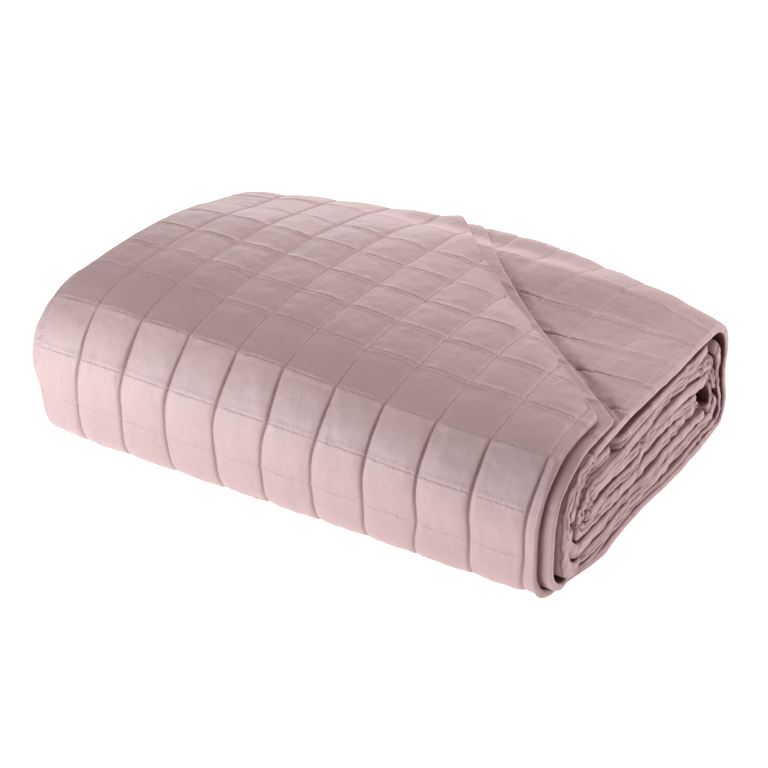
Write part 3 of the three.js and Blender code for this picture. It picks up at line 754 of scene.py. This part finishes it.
def strip_mesh(rows, fine, name, settings):
    """Closed mesh of a stretch of the folded strip."""
    rings = [ring(along, fine) for along in rows]
    sizes = [len(stations) for stations in rings]
    firsts = np.concatenate([[0], np.cumsum(sizes)])
    data = np.array([station for stations in rings for station in stations])
    along = np.repeat(np.array(rows), sizes)
    keys, x, cloth, share, across, push, normal, tangent, painted_shade = data.T
    sway = waves("sway", across, along) * smooth((370 - x) / 40)
    drift = waves("drift", across, along)
    x = x + sway * (cloth == 0) + seam_kinks(across, along) * smooth((372 - x) / 30) * (cloth == 0)
    s = along + drift * (np.abs(along - rows[0]) > 1) * (np.abs(along - rows[-1]) > 1)

    def point(px, ps):
        whole = np.zeros((len(px), 3))
        for index, kind in enumerate(("upper", "lower", "whole")):
            chosen = cloth == index
            whole[chosen] = face_point(px[chosen], ps[chosen], kind, share[chosen])
        return whole

    base = point(x, s)
    step = 0.4
    tangent_x = point(x + step, s) - point(x - step, s)
    tangent_s = point(x, s + step) - point(x, s - step)
    tangent_x /= np.maximum(np.linalg.norm(tangent_x, axis=1, keepdims=True), 1e-9)
    outward = np.cross(tangent_s, tangent_x)
    outward /= np.maximum(np.linalg.norm(outward, axis=1, keepdims=True), 1e-9)
    direction = normal[:, None] * outward + tangent[:, None] * tangent_x
    faces_out = ((cloth == 0) & (share == 0)) | (cloth == 2)
    height = np.where(faces_out, relief(across, along, x, uncovered(x, along), settings), 0.0)
    # Outward faces add the painted shade of the seams and of the slanted fold
    painted_shade = np.where(faces_out, np.maximum(painted_shade, outer_painted_shade(across, along, x)), painted_shade)
    base = base + direction * height[:, None] + tangent_x * push[:, None]
    base[:, 2] = np.maximum(base[:, 2], 0.0)

    faces = []
    for i in range(len(rows) - 1):
        a0, b0 = firsts[i], firsts[i + 1]
        na, nb = sizes[i], sizes[i + 1]
        ka = np.append(keys[a0:a0 + na], 1e9)
        kb = np.append(keys[b0:b0 + nb], 1e9)
        if na == nb and np.array_equal(ka, kb):
            a = a0 + np.arange(na)
            b = b0 + np.arange(na)
            faces.extend(zip(a.tolist(), np.roll(a, -1).tolist(), np.roll(b, -1).tolist(), b.tolist()))
            continue
        p = q = 0
        while p < na or q < nb:
            here, there = int(a0 + p % na), int(b0 + q % nb)
            next_a = ka[p + 1] if p < na else math.inf
            next_b = kb[q + 1] if q < nb else math.inf
            if next_a == next_b:
                faces.append((here, int(a0 + (p + 1) % na), int(b0 + (q + 1) % nb), there))
                p, q = p + 1, q + 1
            elif next_a < next_b:
                faces.append((here, int(a0 + (p + 1) % na), there))
                p += 1
            else:
                faces.append((here, int(b0 + (q + 1) % nb), there))
                q += 1
    parts = np.floor(keys / 1e4).astype(int)
    faces += end_cap(parts[:sizes[0]], x[:sizes[0]], 0, True)
    faces += end_cap(parts[firsts[-2]:], x[firsts[-2]:], int(firsts[-2]), False)
    faces = [face[::-1] for face in faces]
    mesh = bpy.data.meshes.new(name)
    mesh.from_pydata(((base - np.array(ORIGIN)) * METRE).tolist(), [], faces)
    uv = mesh.uv_layers.new(name="cloth")
    loops = np.zeros(len(mesh.loops), dtype=np.int32)
    mesh.loops.foreach_get("vertex_index", loops)
    coordinates = np.stack([across, along - FRONT_SEAM], axis=1)[loops] * METRE
    uv.data.foreach_set("uv", coordinates.astype(np.float32).ravel())
    # Painted shade in seams, gaps and beside the slanted fold, stored on the mesh for the material
    shade = mesh.attributes.new("painted_shade", "FLOAT", "POINT")
    shade.data.foreach_set("value", painted_shade.astype(np.float32))
    mesh.polygons.foreach_set("use_smooth", np.ones(len(mesh.polygons), dtype=bool))
    mesh.update()
    piece = bpy.data.objects.new(name, mesh)
    bpy.context.collection.objects.link(piece)
    return piece


def row_places(low, high, fine):
    """Rows of a stretch of the strip. Rows that rest on the ground or are wound in are plainer."""
    if not fine:
        return [low, *np.arange(low + INNER_STEP, high - 3, INNER_STEP).tolist(), high]
    near, far = low - FRONT_SEAM, high - FRONT_SEAM
    rows = square_steps(near, far, FINE_ROWS, SEAM_STEP) + FRONT_SEAM
    plain = square_steps(near, far, PLAIN_STEPS, SEAM_STEP) + FRONT_SEAM
    bottom = (BOTTOM + 20, start_of("backBottom") - 10)
    rows = np.concatenate([rows[(rows < bottom[0]) | (rows > bottom[1])],
                           plain[(plain > bottom[0]) & (plain < bottom[1])]])
    rows = np.unique(rows[(rows > low + 0.5) & (rows < high - 0.5)])
    rounding = LOOSE_END + np.array([0.4, 1.2, 2.4, 3.8, 5.4])
    if low == LOOSE_END:
        rows = np.unique(np.concatenate([rounding, rows[rows > rounding[-1] + 1]]))
    return [low, *rows.tolist(), high]


def set_inputs(node, values):
    for socket, value in values.items():
        node.inputs[socket].default_value = value


class ClothNodes:
    """Short calls for the nodes of a cloth material, which follow the cloth's own measures."""

    def __init__(self, material):
        material.use_nodes = True
        self.nodes = material.node_tree.nodes
        self.links = material.node_tree.links
        self.shader = self.nodes["Principled BSDF"]
        uv_map = self.nodes.new("ShaderNodeUVMap")
        uv_map.uv_map = "cloth"
        self.place = uv_map.outputs["UV"]
        parts = self.nodes.new("ShaderNodeSeparateXYZ")
        self.links.new(self.place, parts.inputs[0])
        self.across, self.down = parts.outputs["X"], parts.outputs["Y"]

    def feed(self, socket, value):
        if isinstance(value, bpy.types.NodeSocket):
            self.links.new(value, socket)
        else:
            socket.default_value = value

    def maths(self, operation, first, second=0.0, third=0.0):
        node = self.nodes.new("ShaderNodeMath")
        node.operation = operation
        for socket, value in zip(node.inputs, (first, second, third)):
            self.feed(socket, value)
        return node.outputs[0]

    def total(self, parts, shares):
        """Sum of the named parts, each times its share."""
        amounts = [self.maths("MULTIPLY", parts[kind], share) for kind, share in shares.items()]
        result = amounts[0]
        for amount in amounts[1:]:
            result = self.maths("ADD", result, amount)
        return result

    def fade(self, value, full, gone):
        """One up to a value, and smoothly down to zero at another."""
        node = self.nodes.new("ShaderNodeMapRange")
        node.interpolation_type = "SMOOTHSTEP"
        self.feed(node.inputs["Value"], value)
        set_inputs(node, {"From Min": full, "From Max": gone, "To Min": 1.0, "To Max": 0.0})
        return node.outputs["Result"]

    def noise(self, place, scale, detail, roughness=0.5):
        node = self.nodes.new("ShaderNodeTexNoise")
        set_inputs(node, {"Scale": scale, "Detail": detail, "Roughness": roughness})
        self.links.new(place, node.inputs["Vector"])
        return node.outputs["Fac"]

    def mottle(self, per_metre_across, per_metre_down, detail, roughness=0.5):
        """Smooth random values from 0 to 1 over the cloth."""
        scaled = self.nodes.new("ShaderNodeVectorMath")
        scaled.operation = "MULTIPLY"
        self.links.new(self.place, scaled.inputs[0])
        scaled.inputs[1].default_value = (per_metre_across, per_metre_down, 1.0)
        return self.noise(scaled.outputs[0], 1.0, detail, roughness)

    def crumple(self, per_metre, detail):
        """Smooth random values from 0 to 1 through space, for folds that don't follow the cloth."""
        place = self.nodes.new("ShaderNodeTexCoord")
        return self.noise(place.outputs["Object"], per_metre, detail)

    def blend(self, share, first, second, kind="MIX"):
        node = self.nodes.new("ShaderNodeMix")
        node.data_type = "RGBA"
        node.blend_type = kind
        colours = [socket for socket in node.inputs if socket.type == "RGBA"]
        self.feed(node.inputs[0], share)
        self.feed(colours[0], first)
        self.feed(colours[1], second)
        return [socket for socket in node.outputs if socket.type == "RGBA"][0]


def sateen(settings):
    """Sateen with a soft sheen, fine wrinkles, painted shade in seam valleys, gaps and beside the slanted
    fold, and rows of stitches.
    """
    material = bpy.data.materials.get("sateen") or bpy.data.materials.new("sateen")
    if "quilt_sateen" in material:
        return material
    material["quilt_sateen"] = True
    cloth = ClothNodes(material)
    square, step, stitch = SQUARE * METRE, SEAM_STEP * METRE, settings.stitch
    # Painted shade, read from the mesh's attribute, darkens the colour below
    painted_shade = cloth.nodes.new("ShaderNodeAttribute")
    painted_shade.attribute_name = "painted_shade"
    aside = cloth.maths("WRAP", cloth.across, square / 2, -square / 2)
    below = cloth.maths("WRAP", cloth.down, step / 2, -step / 2)
    inside = cloth.fade(cloth.across, 0.0, -0.002)

    swing = cloth.maths("DIVIDE", cloth.maths("PINGPONG", cloth.down, stitch), stitch)
    swing = cloth.maths("MULTIPLY", cloth.maths("SUBTRACT", swing, 0.5), settings.zigzag * 2)
    off_thread = cloth.maths("ABSOLUTE", cloth.maths("SUBTRACT", aside, swing))
    zigzag = cloth.maths("MULTIPLY", cloth.fade(off_thread, THREAD["core"], THREAD["edge"]), inside)
    on_row = cloth.fade(cloth.maths("ABSOLUTE", below), THREAD["core"], THREAD["edge"])
    dashes = cloth.fade(cloth.maths("PINGPONG", cloth.across, stitch / 2), stitch * 0.30, stitch * 0.36)
    running = cloth.maths("MULTIPLY", cloth.maths("MULTIPLY", on_row, dashes), inside)
    thread = cloth.maths("MAXIMUM", zigzag, running)

    parts = {kind: cloth.mottle(*sizes) for kind, sizes in PATCHES.items()}
    tone = cloth.maths("ADD", cloth.total(parts, TONE), LEAST_TONE)
    tint = cloth.nodes.new("ShaderNodeCombineColor")
    for socket in tint.inputs[:3]:
        cloth.feed(socket, tone)
    colour = cloth.blend(1.0, (*settings.cloth_colour, 1.0), tint.outputs[0], "MULTIPLY")
    # Painted shade: the colour blends towards the shade colour where the painted shade is high
    depth = cloth.maths("MULTIPLY", painted_shade.outputs["Fac"], 0.9)
    colour = cloth.blend(depth, colour, (*settings.painted_shade_colour, 1.0))
    covered = cloth.maths("MULTIPLY", thread, THREAD["cover"])
    colour = cloth.blend(covered, colour, (*settings.thread_colour, 1.0))
    cloth.links.new(colour, cloth.shader.inputs["Base Color"])
    set_inputs(cloth.shader, {**SATEEN_GLOSS, "Roughness": settings.roughness,
                              "Sheen Weight": settings.sheen})

    near_row = cloth.fade(cloth.maths("ABSOLUTE", below), 0.001, 0.010)
    parts["puckers"] = cloth.maths("MULTIPLY", parts["puckers"], near_row)
    parts["crumple"] = cloth.crumple(*CRUMPLE)
    parts["thread"] = thread
    height = cloth.total(parts, BUMP)
    bump = cloth.nodes.new("ShaderNodeBump")
    set_inputs(bump, {"Strength": 1.0, "Distance": 1.0})
    cloth.links.new(height, bump.inputs["Height"])
    cloth.links.new(bump.outputs["Normal"], cloth.shader.inputs["Normal"])
    return material


def add_stretch(name, low, high, fine):
    """One stretch of the quilt, with its sateen, attached to the root."""
    settings = bpy.context.scene.folded_quilt
    piece = strip_mesh(row_places(low, high, fine), fine, name, settings)
    piece.data.materials.append(sateen(settings))
    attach(piece, "root")
    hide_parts("quilt")
    laid_out_length(low, high)


class FoldedQuiltSettings(bpy.types.PropertyGroup):
    """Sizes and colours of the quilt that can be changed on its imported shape."""

    front_puff: bpy.props.FloatProperty(
        name="Puff at the front", description="How far a square stands above its seams at the front",
        default=0.0048, min=0.0, max=0.01, unit="LENGTH")
    top_puff: bpy.props.FloatProperty(
        name="Puff on top", description="How far a square stands above its seams on the top",
        default=0.0048, min=0.0, max=0.008, unit="LENGTH")
    wrinkle: bpy.props.FloatProperty(
        name="Wrinkles", description="Height of the cloth's small wrinkles",
        default=0.00036, min=0.0, max=0.001, unit="LENGTH")
    stitch: bpy.props.FloatProperty(
        name="Stitch", description="Length of one stitch",
        default=0.0028, min=0.001, max=0.006, unit="LENGTH")
    zigzag: bpy.props.FloatProperty(
        name="Zigzag", description="How far a zigzag stitch goes to each side",
        default=0.0009, min=0.0, max=0.002, unit="LENGTH")
    cloth_colour: bpy.props.FloatVectorProperty(
        name="Cloth", description="Colour of the sateen",
        default=(0.415, 0.258, 0.260), min=0.0, max=1.0, subtype="COLOR")
    # Painted shade colour for the cloth deep in seams, in gaps and beside the slanted fold
    painted_shade_colour: bpy.props.FloatVectorProperty(
        name="Seam", description="Colour of the cloth deep in a seam",
        default=(0.15, 0.034, 0.042), min=0.0, max=1.0, subtype="COLOR")
    thread_colour: bpy.props.FloatVectorProperty(
        name="Thread", description="Colour of the stitches",
        default=(0.62, 0.41, 0.42), min=0.0, max=1.0, subtype="COLOR")
    roughness: bpy.props.FloatProperty(
        name="Roughness", description="Roughness of the sateen's gloss",
        default=0.61, min=0.0, max=1.0, subtype="FACTOR")
    sheen: bpy.props.FloatProperty(
        name="Sheen", description="Strength of the sateen's soft sheen",
        default=0.08, min=0.0, max=1.0, subtype="FACTOR")
    light_share: bpy.props.FloatProperty(
        name="Studio lights", description="Share of the studio lights' usual power",
        default=1.0, min=0.0, max=4.0)
    room_light: bpy.props.FloatProperty(
        name="Room light", description="Strength of the even light from all around",
        default=0.0, min=0.0, max=2.0)
    floor_glow: bpy.props.FloatProperty(
        name="Floor glow", description="Light that the pale floor gives off by itself",
        default=0.86, min=0.0, max=2.0)


class MESH_OT_quilt_loose_end(bpy.types.Operator):
    """Makes the outermost stretch, over the top and the front, with its slanted edge"""

    bl_idname = "mesh.quilt_loose_end"
    bl_label = "Loose End"

    def execute(self, context):
        add_stretch("quilt_loose_end", LOOSE_END, WRAP_START, True)
        return {"FINISHED"}


class MESH_OT_quilt_under_wrap(bpy.types.Operator):
    """Makes the stretch that goes under, up the back and over the top again"""

    bl_idname = "mesh.quilt_under_wrap"
    bl_label = "Under Wrap"

    def execute(self, context):
        add_stretch("quilt_under_wrap", WRAP_START, INNER_START, True)
        return {"FINISHED"}


class MESH_OT_quilt_inner_wraps(bpy.types.Operator):
    """Makes the layers wound in, which show at the open end"""

    bl_idname = "mesh.quilt_inner_wraps"
    bl_label = "Inner Wraps"

    def execute(self, context):
        add_stretch("quilt_inner_wraps", INNER_START, WOUND_END, False)
        return {"FINISHED"}


def way_to(turned, raised):
    """Direction from the quilt at an azimuth, from the front towards the right, and an elevation."""
    return math.sin(turned) * math.cos(raised), -math.cos(turned) * math.cos(raised), math.sin(raised)


def add_softbox(name, azimuth, elevation, distance, size, watts, colour, share):
    """Square soft light that faces the quilt."""
    turned, raised = math.radians(azimuth), math.radians(elevation)
    bpy.ops.object.select_all(action="DESELECT")
    bpy.ops.object.light_add(type="AREA", rotation=(math.pi / 2 - raised, 0, turned), location=(
        distance * math.sin(turned) * math.cos(raised),
        -distance * math.cos(turned) * math.cos(raised),
        distance * math.sin(raised)))
    light = bpy.context.object
    light.name = name
    light.data.size = size
    light.data.energy = watts * share
    light.data.color = colour


class SCENE_OT_quilt_stage(bpy.types.Operator):
    """Makes the pale floor, the soft lights and the camera"""

    bl_idname = "scene.quilt_stage"
    bl_label = "Stage"

    def execute(self, context):
        settings = context.scene.folded_quilt
        bpy.ops.object.select_all(action="DESELECT")
        bpy.ops.mesh.primitive_plane_add(size=FLOOR_SIZE)
        floor = bpy.context.object
        floor.name = "floor"
        paper = bpy.data.materials.new("white_paper")
        paper.use_nodes = True
        shader = paper.node_tree.nodes["Principled BSDF"]
        set_inputs(shader, {**PAPER, "Emission Strength": settings.floor_glow})
        floor.data.materials.append(paper)
        for light in LIGHTS:
            add_softbox(*light, settings.light_share)
        world = bpy.data.worlds.new("studio")
        world.use_nodes = True
        background = world.node_tree.nodes["Background"]
        set_inputs(background, {"Color": WHITE, "Strength": settings.room_light})
        context.scene.world = world
        context.scene.view_settings.view_transform = "Standard"

        turned, raised = math.radians(CAMERA["azimuth"]), math.radians(CAMERA["elevation"])
        away = way_to(turned, raised)
        place = [at + CAMERA["distance"] * step for at, step in zip(CAMERA["target"], away)]
        bpy.ops.object.select_all(action="DESELECT")
        bpy.ops.object.camera_add(location=place, rotation=(math.pi / 2 - raised, 0, turned))
        camera = bpy.context.object
        camera.name = "camera"
        camera.data.lens = CAMERA["lens"]
        camera.data.sensor_width = 36
        context.scene.camera = camera
        return {"FINISHED"}


class VIEW3D_PT_folded_quilt(bpy.types.Panel):
    """Lists the quilt's pieces, sizes and colours"""

    bl_label = "Folded Quilt"
    bl_idname = "VIEW3D_PT_folded_quilt"
    bl_space_type = "VIEW_3D"
    bl_region_type = "UI"
    bl_category = "Folded Quilt"

    def draw(self, context):
        settings = context.scene.folded_quilt
        for name in FoldedQuiltSettings.__annotations__:
            self.layout.prop(settings, name)
        for operator in OPERATORS:
            self.layout.operator(operator.bl_idname)


OPERATORS = (
    MESH_OT_quilt_loose_end,
    MESH_OT_quilt_under_wrap,
    MESH_OT_quilt_inner_wraps,
    SCENE_OT_quilt_stage,
)
CLASSES = (FoldedQuiltSettings, *OPERATORS, VIEW3D_PT_folded_quilt)


def register():
    for part in CLASSES:
        bpy.utils.register_class(part)
    bpy.types.Scene.folded_quilt = bpy.props.PointerProperty(type=FoldedQuiltSettings)


def unregister():
    del bpy.types.Scene.folded_quilt
    for part in reversed(CLASSES):
        bpy.utils.unregister_class(part)


def main():
    register()
    bpy.ops.mesh.quilt_loose_end()
    bpy.ops.mesh.quilt_under_wrap()
    bpy.ops.mesh.quilt_inner_wraps()
    bpy.ops.scene.quilt_stage()


if __name__ == "__main__":
    main()
